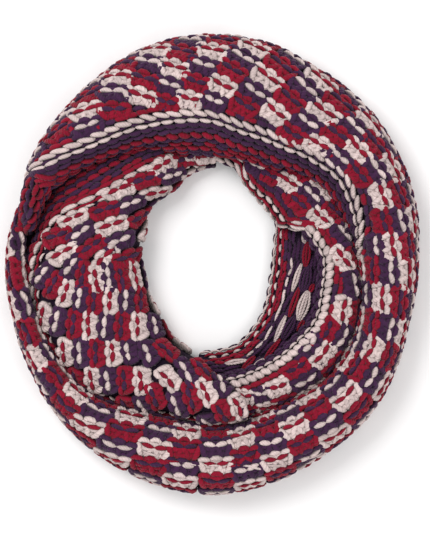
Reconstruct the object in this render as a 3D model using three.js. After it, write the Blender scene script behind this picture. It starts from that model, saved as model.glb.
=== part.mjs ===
// A chunky knitted infinity scarf, laid flat on a surface in a ring. The scarf is one endless band
// wound twice: the outer wrap runs once round with its end on top of its start at the upper left,
// and the inner wrap runs once round inside it, under the outer wrap at the top of the ring. Over
// the right half of the hole the inner wrap opens like a pair of lips, an upper and a lower one.
// Units are millimetres. +Z is up, the surface is z = 0, and the ring lies in XY with +Y at its top.
// Angles are in degrees, anticlockwise from +X, round the middle of the hole.
import * as THREE from "three";

// Driving dimensions
const KNIT = 4; // thickness of the knitted cloth
const SEAM = 0.4; // clearance between stretches that lie against each other
const BACKING = 0.8; // clearance between the cloth and the hidden layers that fill it
const HOLE_MIDDLE = new THREE.Vector2(-1.35, 3.35);
const THINNEST_SHARE = 0.75; // of a narrow roll's half width, which its cloth may fill
const LEAST_RADIUS = 0.2; // of a hidden roll's bend

// How finely the wraps are divided
const STEP = 4.6; // degrees along a wrap
const LIP_STEP = 6;
// Steps from rim to crest, crest to side and side to foot, on the outside of a roll and on its inside
const OUTER_CUTS = [5, 5, 3];
const INNER_CUTS = [3, 3, 2];
const LIP_OUTER_CUTS = [5, 3];
const LIP_INNER_CUTS = [4, 2];
const UNDER_CUTS = 5; // steps of the hidden layers over the part of the inner wrap that they lie on
const HIDDEN_STEPS = 80;

// A wrap is a roll of cloth. Each row is a section across it: its rim is tucked into the valley
// between the two wraps, its crest is its highest line, its side is its outline seen from above, and
// its foot is where it turns under. R is a distance from the middle of the hole, Z a height.
const ROLL_COLUMNS = ["at", "rimR", "rimZ", "crestR", "crestZ", "sideR", "sideZ", "footR", "footZ"];

// From the far left, under its own end, anticlockwise round the bottom, right and top of the ring
const OUTER_WRAP = table(ROLL_COLUMNS, [
  [150, 141, 8, 144.5, 18, 148, 9, 142, 0],
  [158, 144.5, 10, 148.5, 24, 152.5, 12, 145.5, 0],
  [166, 150, 13, 153.6, 28, 157.2, 13, 150, 0],
  [172, 150.2, 14, 154.8, 31, 159, 14, 151, 0],
  [180, 149, 15, 155, 34, 160.6, 15, 152, 0],
  [195, 146.6, 16, 154, 38, 161.4, 17, 151.5, 0],
  [210, 147, 16, 156, 41, 165, 18, 154, 0],
  [225, 145, 16, 158, 45, 171, 19, 159, 0],
  [240, 136.2, 16, 157, 48, 176, 19, 163.5, 0],
  [255, 129.8, 16, 157, 51, 180.6, 20, 167.5, 0],
  [270, 130.6, 16, 159, 52, 184, 20, 171, 0],
  [285, 129.2, 16, 157, 52, 181.2, 20, 168, 0],
  [300, 129.8, 16, 154, 51, 177, 20, 164, 0],
  [315, 133, 16, 154, 50, 174.6, 20, 162, 0],
  [330, 131.4, 16, 150, 50, 168.6, 20, 156, 0],
  [345, 125.8, 16, 145, 50, 163, 20, 150.5, 0],
  [360, 119.4, 17, 142, 52, 163.2, 20, 150, 0],
  [375, 114.6, 21, 141, 54, 167, 20, 153.5, 0],
  [390, 109.8, 27, 141, 57, 169.6, 21, 156, 0],
  [405, 100.2, 31, 138, 60, 172, 22, 158, 0],
  [420, 88, 31, 134, 63, 172.4, 23, 158, 0],
  [435, 84.8, 30, 132, 65, 176.4, 24, 161.5, 0],
  [450, 84, 30, 132, 66, 177.2, 24, 162, 0],
  [465, 89.6, 32, 132, 66, 175.2, 24, 160.5, 0],
  [480, 104, 39, 134, 65, 169, 24, 154.5, 0],
  [495, 116, 40.5, 138, 64, 164, 25, 151.5, 2],
  [510, 132, 33, 146, 60, 160.8, 27, 151, 12],
  [518, 138.6, 24, 148, 53, 157.8, 34, 151.2, 26],
  [526, 141.6, 18, 147.4, 44, 153, 37, 149.6, 31],
  [529, 142, 16, 145.9, 38, 149.8, 30, 147.4, 22],
  [532, 142, 14, 145, 32, 148, 24, 146, 18],
]);

// From the lower right, under its own end, anticlockwise round the right, top and left of the hole
const INNER_WRAP = table(ROLL_COLUMNS, [
  [-95, 123.2, 12, 110, 33, 95.5, 24, 99, 17],
  [-85, 124.6, 13, 110.5, 35, 92.5, 25, 96.5, 16],
  [-75, 128, 14, 111, 37, 90.6, 26, 95, 16],
  [-60, 128.4, 14, 111, 38, 89.8, 26, 94.4, 16],
  [-45, 131, 14, 112, 38, 89.8, 26, 94.4, 16],
  [-30, 129.8, 14, 113, 38, 91.2, 26, 95.6, 16],
  [-15, 124.4, 14, 108, 38, 87.4, 26, 91.8, 16],
  [0, 118, 14, 102, 37, 85.6, 26, 90, 16],
  [12, 114, 14, 97, 35, 79, 25, 83.4, 16],
  [20, 113.4, 13, 93, 33, 73, 24, 77.4, 15.5],
  [24, 113.6, 13, 90, 32, 66, 23, 70.6, 15],
  [30, 115, 12, 88, 31, 62, 21, 67, 14],
  [45, 112, 12, 86, 29, 62, 18, 67, 8],
  [60, 110, 11, 88, 26, 66, 14, 72, 0],
  [75, 112, 10, 92, 25, 74.6, 13, 80.6, 0],
  [88, 116, 10, 96, 24.5, 78, 12, 84, 0],
  [105, 118, 12, 95, 27, 73.4, 14, 80, 0],
  [120, 120, 13, 92, 38, 65.4, 17, 72.5, 0],
  [135, 130, 14, 96, 43, 66.8, 18, 74, 0],
  [150, 136, 14, 98, 46, 62, 18, 69.5, 0],
  [158, 137, 14, 98, 47, 58.6, 18, 66, 0],
  [165, 139.6, 14, 98, 48, 56.4, 18, 64, 0],
  [172, 140.8, 14, 99, 48, 56.6, 18, 64.4, 0],
  [180, 146.4, 14, 100, 48, 57.2, 18, 65, 0],
  [195, 145.2, 15, 100, 48, 56.4, 18, 64, 0],
  [210, 145.6, 15, 101, 48, 58.8, 18, 66.5, 0],
  [225, 143.6, 15, 101, 48, 60.6, 18, 68.5, 0],
  [240, 134.8, 15, 102, 48, 69.2, 18, 77, 0],
  [255, 128.4, 15, 104, 49, 74.8, 18, 82, 0],
  [262, 128.6, 16, 108, 51, 78, 24, 85, 12],
  [268, 128.6, 22, 112, 53, 87, 42, 92.5, 36],
  [273, 128.2, 27, 115, 54, 94, 45, 99, 38],
  [279, 127.6, 31, 118, 53, 102.4, 46, 107, 40],
  [283, 127.2, 34, 120.5, 51, 113, 46, 116.5, 41],
]);

// The lower lip, seen on its wrong side: from its rim under the upper lip down to the hole
const LOWER_LIP = table(["at", "rimR", "rimZ", "sideR", "sideZ", "footR"], [
  [-97, 100, 16.2, 74.6, 6, 81],
  [-90, 100, 15.6, 73.8, 6, 80],
  [-75, 97, 15.6, 72, 6, 78],
  [-60, 96.4, 15.6, 65.8, 6, 72],
  [-45, 96.4, 15.6, 59.8, 6, 66],
  [-30, 97.6, 15.6, 54, 6, 60],
  [-15, 93.8, 15.6, 50.6, 6, 57],
  [0, 92, 15.6, 50.6, 6, 57],
  [12, 86, 15.6, 53, 6, 59],
  [20, 80, 15, 55.6, 6, 61],
  [24, 76, 14.6, 58, 6, 63],
  [30, 73, 13.4, 61.4, 6, 66],
  [38, 73, 10.4, 66, 5.6, 70],
]);

// Soft troughs in the cloth: over an angle of a wrap, at a distance from the middle of the hole
const FOLDS = table(["wrap", "from", "to", "startR", "endR", "depth", "width"], [
  ["outer", 232, 312, 164, 158, 5, 7],
  ["outer", 318, 366, 156, 148, 2.5, 6],
  ["outer", 398, 452, 146, 158, 3, 8],
  ["outer", 452, 500, 118, 148, 3, 7],
  ["inner", 112, 172, 82, 112, 3, 7],
  ["inner", 176, 250, 122, 92, 3.5, 7],
  ["inner", 206, 276, 92, 118, 3, 6],
  ["inner", -70, -14, 113, 108, 2, 5],
]);

const OUTER_START = 3; // degrees past the first row, clear of where the hidden layers drop
const INNER_SPLIT = 88; // the inner wrap's two stretches meet here, under the outer wrap
const SPLIT_GAP = 0.3; // degrees
const UNDER_END = [135, 149]; // the hidden layers drop here to pass below the outer wrap's start
const UNDER_NOSE = [248, 262]; // and here to pass below the inner wrap's start
const LIP_FADE = 7; // degrees over which their toe leaves the lower lip

// Every stretch is knitted from three yarns, and is given the one that shows most in it
const CRIMSON = 0x9c1a2e;
const PLUM = 0x46294f;
const CREAM = 0xd9cfc4;

function table(columns, rows) {
  return rows.map((row) => Object.fromEntries(columns.map((name, i) => [name, row[i]])));
}

// The section of a wrap at an angle, on a smooth curve through the rows on either side
function sectionAt(rows, angle) {
  const at = THREE.MathUtils.clamp(angle, rows[0].at, rows[rows.length - 1].at);
  const i = Math.max(rows.findIndex((row) => row.at >= at), 1);
  const before = rows[i - 1];
  const after = rows[i];
  const span = after.at - before.at;
  const t = (at - before.at) / span;
  const section = {};
  for (const name of Object.keys(before)) {
    const leaving = slope(rows, i - 1, name);
    const arriving = slope(rows, i, name);
    section[name] = hermite(before[name], after[name], leaving, arriving, span, t);
  }
  section.at = angle;
  return section;
}

// A slope that never overshoots its rows
function slope(rows, i, name) {
  if (i === 0 || i === rows.length - 1) {
    return 0;
  }
  const left = (rows[i][name] - rows[i - 1][name]) / (rows[i].at - rows[i - 1].at);
  const right = (rows[i + 1][name] - rows[i][name]) / (rows[i + 1].at - rows[i].at);
  return left * right > 0 ? (2 * left * right) / (left + right) : 0;
}

function hermite(a, b, slopeA, slopeB, span, t) {
  const rise = t * t * (3 - 2 * t);
  const leave = t * (1 - t) * (1 - t) * span;
  const arrive = t * t * (t - 1) * span;
  return a + (b - a) * rise + slopeA * leave + slopeB * arrive;
}

function mixed(a, b, share) {
  const section = {};
  for (const name of Object.keys(a)) {
    section[name] = THREE.MathUtils.lerp(a[name], b[name], share);
  }
  section.at = a.at;
  return section;
}

// The quarter ellipses that a roll's section is made of, each with its centre and its two half axes,
// and run from its side to its top or the other way. A negative half axis points to the hole or down.
function rollArcs(s) {
  return [
    { r: s.crestR, z: s.rimZ, alongR: s.rimR - s.crestR, alongZ: s.crestZ - s.rimZ, fromSide: true },
    { r: s.crestR, z: s.sideZ, alongR: s.sideR - s.crestR, alongZ: s.crestZ - s.sideZ },
    { r: s.footR, z: s.sideZ, alongR: s.sideR - s.footR, alongZ: s.footZ - s.sideZ, fromSide: true },
  ];
}

function lipArcs(s) {
  return [
    { r: s.rimR, z: s.sideZ, alongR: s.sideR - s.rimR, alongZ: s.rimZ - s.sideZ },
    { r: s.footR, z: s.sideZ, alongR: s.sideR - s.footR, alongZ: -s.sideZ, fromSide: true },
  ];
}

function shorter(length, inset) {
  return Math.sign(length) * Math.max(Math.abs(length) - inset, LEAST_RADIUS);
}

// Points along the arcs, moved in from the outside of the cloth by an inset
function profile(arcs, cuts, inset) {
  const points = [];
  arcs.forEach((arc, k) => {
    const alongR = shorter(arc.alongR, inset);
    const alongZ = shorter(arc.alongZ, inset);
    for (let i = k === 0 ? 0 : 1; i <= cuts[k]; i += 1) {
      const turn = ((i / cuts[k]) * Math.PI) / 2;
      const side = arc.fromSide ? Math.cos(turn) : Math.sin(turn);
      const top = arc.fromSide ? Math.sin(turn) : Math.cos(turn);
      points.push(new THREE.Vector2(arc.r + alongR * side, arc.z + alongZ * top));
    }
  });
  return points;
}

function clothThickness(arcs) {
  const narrowest = Math.min(...arcs.flatMap((arc) => [Math.abs(arc.alongR), Math.abs(arc.alongZ)]));
  return Math.min(KNIT, THINNEST_SHARE * narrowest);
}

// How far the folds sink a point of a wrap, as soft troughs that fade out at their ends
function foldDepth(wrap, angle, r) {
  let depth = 0;
  for (const fold of FOLDS) {
    const along = (angle - fold.from) / (fold.to - fold.from);
    if (fold.wrap === wrap && along > 0 && along < 1) {
      const offset = (r - THREE.MathUtils.lerp(fold.startR, fold.endR, along)) / fold.width;
      depth += fold.depth * Math.sin(Math.PI * along) ** 2 * Math.exp(-offset * offset);
    }
  }
  return depth;
}

// The folds lower only the top of a roll, above the height of its rim and side
function folded(points, wrap, angle, section) {
  const base = Math.max(section.rimZ, section.sideZ);
  return points.map((p) => {
    const share = THREE.MathUtils.smoothstep(p.y, base, section.crestZ);
    return new THREE.Vector2(p.x, p.y - foldDepth(wrap, angle, p.x) * share);
  });
}

function wrapSection(rows, wrap, angle) {
  const section = sectionAt(rows, angle);
  const arcs = rollArcs(section);
  const outside = profile(arcs, OUTER_CUTS, 0);
  const inside = profile(arcs, INNER_CUTS, clothThickness(arcs));
  return folded([...outside, ...inside.reverse()], wrap, angle, section);
}

function lipSection(angle) {
  const arcs = lipArcs(sectionAt(LOWER_LIP, angle));
  const outside = profile(arcs, LIP_OUTER_CUTS, 0);
  const inside = profile(arcs, LIP_INNER_CUTS, clothThickness(arcs));
  return [...outside, ...inside.reverse()];
}

// The hidden layers fill both rolls from inside and pass under the valley between them
function hiddenSection(angle) {
  const underEnd = angle < OUTER_WRAP[0].at;
  const outer = mixed(
    sectionAt(OUTER_WRAP, underEnd ? angle + 360 : angle),
    sectionAt(OUTER_WRAP, angle),
    underEnd ? THREE.MathUtils.smoothstep(angle, ...UNDER_END) : 0,
  );
  const inner = mixed(
    sectionAt(INNER_WRAP, angle > UNDER_NOSE[1] ? angle - 360 : angle),
    sectionAt(INNER_WRAP, angle - 360),
    angle > UNDER_NOSE[1] ? 0 : THREE.MathUtils.smoothstep(angle, ...UNDER_NOSE),
  );
  const inset = KNIT + BACKING;
  const outerRoll = folded(profile(rollArcs(outer), INNER_CUTS, inset), "outer", outer.at, outer);
  const innerRoll = folded(profile(rollArcs(inner), INNER_CUTS, inset), "inner", inner.at, inner);
  const heel = outer.footR - BACKING;
  const toe = toeRadius(angle, inner);
  outerRoll[outerRoll.length - 1].x = heel;
  return [
    new THREE.Vector2(heel, 0),
    ...outerRoll.reverse(),
    ...valleyPath(outer, inner, inset),
    ...innerRoll,
    new THREE.Vector2(toe, innerRoll[innerRoll.length - 1].y),
    new THREE.Vector2(toe, 0),
  ];
}

// From the outer wrap's rim to the inner wrap's, over the inner wrap where it lies under the outer one
function valleyPath(outer, inner, inset) {
  const low = Math.min(outer.rimZ, inner.rimZ) - BACKING;
  const reach = inner.rimR - inner.crestR + BACKING;
  const rise = inner.crestZ - inner.rimZ + BACKING;
  const start = outer.rimR + inset;
  const isUnder = start < inner.crestR + reach;
  const end = isUnder ? inner.crestR + reach : start;
  const firstTurn = Math.asin(THREE.MathUtils.clamp((start - inner.crestR) / reach, 0, 1));
  const path = [];
  for (let k = 0; k <= UNDER_CUTS; k += 1) {
    const turn = THREE.MathUtils.lerp(firstTurn, Math.PI / 2, k / UNDER_CUTS);
    const r = isUnder ? inner.crestR + reach * Math.sin(turn) : start;
    path.push(new THREE.Vector2(r, isUnder ? inner.rimZ + rise * Math.cos(turn) : low));
  }
  path.push(new THREE.Vector2(end, low), new THREE.Vector2(inner.rimR - inset, low));
  return path;
}

// Where the hidden layers end at the hole: at the foot of the wrap, or behind the lower lip
function toeRadius(angle, inner) {
  const turned = angle > 180 ? angle - 360 : angle;
  const first = LOWER_LIP[0].at - 1;
  const last = LOWER_LIP[LOWER_LIP.length - 1].at + 1;
  const begun = THREE.MathUtils.smoothstep(turned, first - LIP_FADE, first);
  const ended = THREE.MathUtils.smoothstep(turned, last, last + LIP_FADE);
  const lipRim = Math.max(sectionAt(LOWER_LIP, turned).rimR, inner.footR);
  return THREE.MathUtils.lerp(inner.footR, lipRim, begun * (1 - ended)) + BACKING;
}

function placed(point, angle) {
  const turn = THREE.MathUtils.degToRad(angle);
  return [
    HOLE_MIDDLE.x + point.x * Math.cos(turn),
    HOLE_MIDDLE.y + point.x * Math.sin(turn),
    Math.max(point.y, 0),
  ];
}

// A closed body through sections of equally many points, capped unless it runs right round
function body(sections, angles, isRing) {
  const around = sections[0].length;
  const positions = sections.flatMap((section, k) => section.flatMap((point) => placed(point, angles[k])));
  const faces = [];
  const spans = isRing ? sections.length : sections.length - 1;
  for (let k = 0; k < spans; k += 1) {
    const near = k * around;
    const far = ((k + 1) % sections.length) * around;
    for (let i = 0; i < around; i += 1) {
      const j = (i + 1) % around;
      faces.push([near + i, far + j, near + j], [near + i, far + i, far + j]);
    }
  }
  if (!isRing) {
    faces.push(...capFaces(sections[0], 0, true));
    faces.push(...capFaces(sections[sections.length - 1], (sections.length - 1) * around, false));
  }
  const geometry = new THREE.BufferGeometry();
  geometry.setAttribute("position", new THREE.Float32BufferAttribute(positions, 3));
  geometry.setIndex(facingOut(positions, faces).flat());
  geometry.computeVertexNormals();
  return geometry;
}

// The triangles come out anticlockwise whichever way the section runs
function capFaces(section, offset, isStart) {
  const turned = THREE.ShapeUtils.isClockWise(section) === isStart;
  return THREE.ShapeUtils.triangulateShape(section, []).map(([a, b, c]) =>
    turned ? [offset + a, offset + c, offset + b] : [offset + a, offset + b, offset + c],
  );
}

function facingOut(positions, faces) {
  const corner = (i) => new THREE.Vector3().fromArray(positions, i * 3);
  let volume = 0;
  for (const [a, b, c] of faces) {
    volume += corner(a).dot(corner(b).cross(corner(c)));
  }
  return volume > 0 ? faces : faces.map(([a, b, c]) => [a, c, b]);
}

function stretch(name, from, to, step, sectionOf, colour) {
  const steps = Math.ceil((to - from) / step);
  const shares = Array.from({ length: steps + 1 }, (_, k) => k / steps);
  const angles = shares.map((share) => THREE.MathUtils.lerp(from, to, share));
  return cloth(name, body(angles.map(sectionOf), angles, false), colour);
}

function cloth(name, geometry, colour) {
  const material = new THREE.MeshStandardMaterial({ color: colour, roughness: 0.95, metalness: 0 });
  const mesh = new THREE.Mesh(geometry, material);
  mesh.name = name;
  return mesh;
}

function outerWrap() {
  const section = (angle) => wrapSection(OUTER_WRAP, "outer", angle);
  const start = OUTER_WRAP[0].at + OUTER_START;
  return stretch("outer_wrap", start, OUTER_WRAP[OUTER_WRAP.length - 1].at, STEP, section, CRIMSON);
}

function innerWrap(name, from, to, colour) {
  return stretch(name, from, to, STEP, (angle) => wrapSection(INNER_WRAP, "inner", angle), colour);
}

function lowerLip() {
  const first = LOWER_LIP[0].at;
  const last = LOWER_LIP[LOWER_LIP.length - 1].at;
  return stretch("inner_right_lower_lip", first, last, LIP_STEP, lipSection, PLUM);
}

function hiddenLayers() {
  const angles = Array.from({ length: HIDDEN_STEPS }, (_, k) => (k * 360) / HIDDEN_STEPS);
  return cloth("hidden_layers", body(angles.map(hiddenSection), angles, true), PLUM);
}

const scarf = new THREE.Group();
scarf.add(
  outerWrap(),
  innerWrap("inner_left", INNER_SPLIT + SPLIT_GAP, INNER_WRAP[INNER_WRAP.length - 1].at, CREAM),
  innerWrap("inner_right_upper_lip", INNER_WRAP[0].at, INNER_SPLIT - SPLIT_GAP, PLUM),
  lowerLip(),
  hiddenLayers(),
);

export default scarf;
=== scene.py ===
import math

import bpy
import numpy as np
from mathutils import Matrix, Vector


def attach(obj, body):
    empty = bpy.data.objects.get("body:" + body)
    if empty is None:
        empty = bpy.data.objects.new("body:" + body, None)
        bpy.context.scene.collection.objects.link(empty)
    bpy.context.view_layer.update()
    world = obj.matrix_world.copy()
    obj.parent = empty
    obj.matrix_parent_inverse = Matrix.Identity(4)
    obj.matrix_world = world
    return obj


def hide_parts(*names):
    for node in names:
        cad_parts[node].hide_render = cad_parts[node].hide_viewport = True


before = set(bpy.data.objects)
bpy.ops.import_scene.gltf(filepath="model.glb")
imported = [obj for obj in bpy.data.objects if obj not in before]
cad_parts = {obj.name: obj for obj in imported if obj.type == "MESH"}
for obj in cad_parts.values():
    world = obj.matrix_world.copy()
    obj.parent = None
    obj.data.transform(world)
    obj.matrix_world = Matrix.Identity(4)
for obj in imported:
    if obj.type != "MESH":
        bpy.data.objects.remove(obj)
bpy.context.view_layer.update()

# A chunky knitted infinity scarf, wound twice into a ring and laid flat. Every stretch of cloth is a
# thin knitted ground with its yarn on top: each cell, edge chain and garter ridge is made of real
# strands. Tables and sizes are in millimetres and degrees, and MM turns them into metres.
MM = 0.001
HOLE_MIDDLE = (-1.35, 3.35)
GROUND_INSET = 1.5  # how far the ground lies under the cloth's mean surface
GROUND_BACK = 3.8  # where the ground's wrong side lies
LEAST_RADIUS = 0.3

# The photograph's frame in its own units, and the ring's middle in it
PX = 0.8  # mm of the plane of the outline
FRAME_HEIGHT = 537
FRAME_MIDDLE = (215, 268.5)
RING_MIDDLE = (212, 264.5)

# Looks
CREAM = "#C6B3B0"
CRIMSON = "#7F0A25"
PLUM = "#3A1D3C"
# The knitted ground's near-black plum is painted shade for the gaps between stitches
GAP_SHADE_GROUND = "#1E1022"
PAPER = "#F4F3F3"
SKY_LIGHT = 0.84

ROLL_COLUMNS = ("at", "rim_r", "rim_z", "crest_r", "crest_z", "side_r", "side_z", "foot_r", "foot_z")
OUTER_WRAP = (
    (150, 141, 8, 144.5, 18, 148, 9, 142, 0),
    (158, 144.5, 10, 148.5, 24, 152.5, 12, 145.5, 0),
    (166, 150, 13, 153.6, 28, 157.2, 13, 150, 0),
    (172, 150.2, 14, 154.8, 31, 159, 14, 151, 0),
    (180, 149, 15, 155, 34, 160.6, 15, 152, 0),
    (195, 146.6, 16, 154, 38, 161.4, 17, 151.5, 0),
    (210, 147, 16, 156, 41, 165, 18, 154, 0),
    (225, 145, 16, 158, 45, 171, 19, 159, 0),
    (240, 136.2, 16, 157, 48, 176, 19, 163.5, 0),
    (255, 129.8, 16, 157, 51, 180.6, 20, 167.5, 0),
    (270, 130.6, 16, 159, 52, 184, 20, 171, 0),
    (285, 129.2, 16, 157, 52, 181.2, 20, 168, 0),
    (300, 129.8, 16, 154, 51, 177, 20, 164, 0),
    (315, 133, 16, 154, 50, 174.6, 20, 162, 0),
    (330, 131.4, 16, 150, 50, 168.6, 20, 156, 0),
    (345, 125.8, 16, 145, 50, 163, 20, 150.5, 0),
    (360, 119.4, 17, 142, 52, 163.2, 20, 150, 0),
    (375, 114.6, 21, 141, 54, 167, 20, 153.5, 0),
    (390, 109.8, 27, 141, 57, 169.6, 21, 156, 0),
    (405, 100.2, 31, 138, 60, 172, 22, 158, 0),
    (420, 88, 31, 134, 63, 172.4, 23, 158, 0),
    (435, 84.8, 30, 132, 65, 176.4, 24, 161.5, 0),
    (450, 84, 30, 132, 66, 177.2, 24, 162, 0),
    (465, 89.6, 32, 132, 66, 175.2, 24, 160.5, 0),
    (480, 104, 39, 134, 65, 169, 24, 154.5, 0),
    (495, 116, 40.5, 138, 64, 164, 25, 151.5, 2),
    (510, 132, 33, 146, 60, 160.8, 27, 151, 12),
    (518, 138.6, 24, 148, 53, 157.8, 34, 151.2, 26),
    (526, 141.6, 18, 147.4, 44, 153, 37, 149.6, 31),
    (529, 142, 16, 145.9, 38, 149.8, 30, 147.4, 22),
    (532, 142, 14, 145, 32, 148, 24, 146, 18),
)
INNER_WRAP = (
    (-95, 123.2, 12, 110, 33, 95.5, 24, 99, 17),
    (-85, 124.6, 13, 110.5, 35, 92.5, 25, 96.5, 16),
    (-75, 128, 14, 111, 37, 90.6, 26, 95, 16),
    (-60, 128.4, 14, 111, 38, 89.8, 26, 94.4, 16),
    (-45, 131, 14, 112, 38, 89.8, 26, 94.4, 16),
    (-30, 129.8, 14, 113, 38, 91.2, 26, 95.6, 16),
    (-15, 124.4, 14, 108, 38, 87.4, 26, 91.8, 16),
    (0, 118, 14, 102, 37, 85.6, 26, 90, 16),
    (12, 114, 14, 97, 35, 79, 25, 83.4, 16),
    (20, 113.4, 13, 93, 33, 73, 24, 77.4, 15.5),
    (24, 113.6, 13, 90, 32, 66, 23, 70.6, 15),
    (30, 115, 12, 88, 31, 62, 21, 67, 14),
    (45, 112, 12, 86, 29, 62, 18, 67, 8),
    (60, 110, 11, 88, 26, 66, 14, 72, 0),
    (75, 112, 10, 92, 25, 74.6, 13, 80.6, 0),
    (88, 116, 10, 96, 24.5, 78, 12, 84, 0),
    (105, 118, 12, 95, 27, 73.4, 14, 80, 0),
    (120, 120, 13, 92, 38, 65.4, 17, 72.5, 0),
    (135, 130, 14, 96, 43, 66.8, 18, 74, 0),
    (150, 136, 14, 98, 46, 62, 18, 69.5, 0),
    (158, 137, 14, 98, 47, 58.6, 18, 66, 0),
    (165, 139.6, 14, 98, 48, 56.4, 18, 64, 0),
    (172, 140.8, 14, 99, 48, 56.6, 18, 64.4, 0),
    (180, 146.4, 14, 100, 48, 57.2, 18, 65, 0),
    (195, 145.2, 15, 100, 48, 56.4, 18, 64, 0),
    (210, 145.6, 15, 101, 48, 58.8, 18, 66.5, 0),
    (225, 143.6, 15, 101, 48, 60.6, 18, 68.5, 0),
    (240, 134.8, 15, 102, 48, 69.2, 18, 77, 0),
    (255, 128.4, 15, 104, 49, 74.8, 18, 82, 0),
    (262, 128.6, 16, 108, 51, 78, 24, 85, 12),
    (268, 128.6, 22, 112, 53, 87, 42, 92.5, 36),
    (273, 128.2, 27, 115, 54, 94, 45, 99, 38),
    (279, 127.6, 31, 118, 53, 102.4, 46, 107, 40),
    (283, 127.2, 34, 120.5, 51, 113, 46, 116.5, 41),
)
LIP_COLUMNS = ("at", "rim_r", "rim_z", "side_r", "side_z", "foot_r")
LOWER_LIP = (
    (-97, 100, 16.2, 74.6, 6, 81),
    (-90, 100, 15.6, 73.8, 6, 80),
    (-75, 97, 15.6, 72, 6, 78),
    (-60, 96.4, 15.6, 65.8, 6, 72),
    (-45, 96.4, 15.6, 59.8, 6, 66),
    (-30, 97.6, 15.6, 54, 6, 60),
    (-15, 93.8, 15.6, 50.6, 6, 57),
    (0, 92, 15.6, 50.6, 6, 57),
    (12, 86, 15.6, 53, 6, 59),
    (20, 80, 15, 55.6, 6, 61),
    (24, 76, 14.6, 58, 6, 63),
    (30, 73, 13.4, 61.4, 6, 66),
    (38, 73, 10.4, 66, 5.6, 70),
)
# Soft troughs: wrap, first and last angle, distance from the middle at each, depth, width
FOLDS = (
    ("outer", 232, 312, 164, 158, 5, 7),
    ("outer", 318, 366, 156, 148, 2.5, 6),
    ("outer", 398, 452, 146, 158, 3, 8),
    ("outer", 452, 500, 118, 148, 3, 7),
    ("inner", 112, 172, 82, 112, 3, 7),
    ("inner", 176, 250, 122, 92, 3.5, 7),
    ("inner", 206, 276, 92, 118, 3, 6),
    ("inner", -70, -14, 113, 108, 2, 5),
)

# Where the edge chain lies on each wrap, as its distance from the middle of the hole
CHAIN_COLUMNS = ("at", "chain_r")
OUTER_CHAIN = (
    (150, 137), (180, 144), (210, 142.4), (225, 140), (240, 131), (255, 125), (270, 125.6),
    (285, 124), (300, 125), (315, 129), (330, 127), (345, 122.4), (360, 120), (375, 124),
    (390, 126), (405, 118.4), (420, 111), (435, 109.6), (450, 115), (465, 118.4), (480, 125),
    (495, 134.4), (510, 153.6), (518, 163), (526, 168), (532, 172),
)
LEFT_CHAIN = (
    (88, 79), (105, 84), (120, 88.5), (127, 90.3), (133, 91.9), (139.4, 95), (145, 98.8),
    (150, 103.5), (155, 110), (159, 117.4), (164, 125), (169, 130.5), (174, 135), (180, 140),
    (195, 144), (210, 145), (225, 143), (240, 134), (255, 128), (283, 127),
)
RIGHT_CHAIN = (
    (-95, 101), (-83, 100.8), (-60, 99.2), (-45, 99.2), (-30, 100.8), (-15, 96.8), (0, 95.2),
    (12, 88), (17, 84.8), (20, 76.8), (24, 68), (29, 61.6), (48, 62.4), (58, 64), (67, 69.6),
    (74, 78.4), (88, 82),
)

# Columns of cells across a wrap: the column's number and angle, how far its first cream cell lies
# from the chain (an odd column's lies one and a half cells further), how far the column leans
# (sideways per unit across), the turn of its cells, and the least distance of a cell from the chain
CELL_COLUMNS = ("column", "at", "start", "lean", "turn", "least")
OUTER_CELLS = (
    (-12, 148, 10, 0, 0, 5), (-10, 166, 10.8, 0, 0, 5), (-8, 184, 10.8, 0, 0, 5),
    (-6, 201.9, 10.8, 0, 0, 5), (-4, 216.6, 10.6, 0, 0, 5), (-3, 225, 5, 0, 0, 5),
    (-2, 233.3, 4, 0, 0, 4), (0, 253.4, 5, 0, 0, 4), (1, 262, 7.6, 0, 0, 5),
    (2, 271.7, 11.5, 0, 0, 5), (3, 280, 13.5, 0, 0, 5), (4, 288.4, 17.8, 0, 0, 5),
    (6, 305.5, 20, 0, 0, 5), (8, 324, 20, 0, 0, 5), (10, 339, 14.4, 0, 0, 5),
    (12, 357.6, 10, -0.1, 0, 5), (14, 374, 2, -0.2, 0, 5), (16, 391, -5, -0.3, 0, 5),
    (18, 408.1, 7, -0.4, -10, 4), (20, 429.6, 15.7, -0.5, -24, 4), (22, 450.7, 22, -0.5, -24, 5),
    (23, 459, 28.3, -0.5, -14, 6), (24, 467.3, 34, -0.5, -18, 6), (26, 485, 38, -0.5, -14, 6),
    (28, 503, 42, -0.5, -6, 6), (30, 520, 45, -0.5, 0, 6), (32, 537, 48, -0.5, 0, 6),
)
RIGHT_CELLS = (
    (-12, -104, 12, 0, -12, 14), (-10, -90, 12, 0, -12, 13), (-8, -76, 12, 0, -12, 10),
    (-7, -69, 9, 0, -12, 10), (-6, -62, 16, 0, -10, 9), (-4, -40, 18, 0, 0, 6),
    (-2, -20.6, 12.6, 0, 0, 6), (-1, -10, 11.6, 0, 8, 6), (0, 0.6, 8.5, 0, 20, 6),
    (1, 10.8, 11, 0, 21, 6), (2, 21.1, 18, 0, 22, 10), (3, 33, 29, 0, 4, 15),
    (4, 44.6, 26, 0, 0, 15), (6, 63.5, 30.5, 0, 0, 15), (8, 84.7, 33, 0, 0, 15),
)

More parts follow.
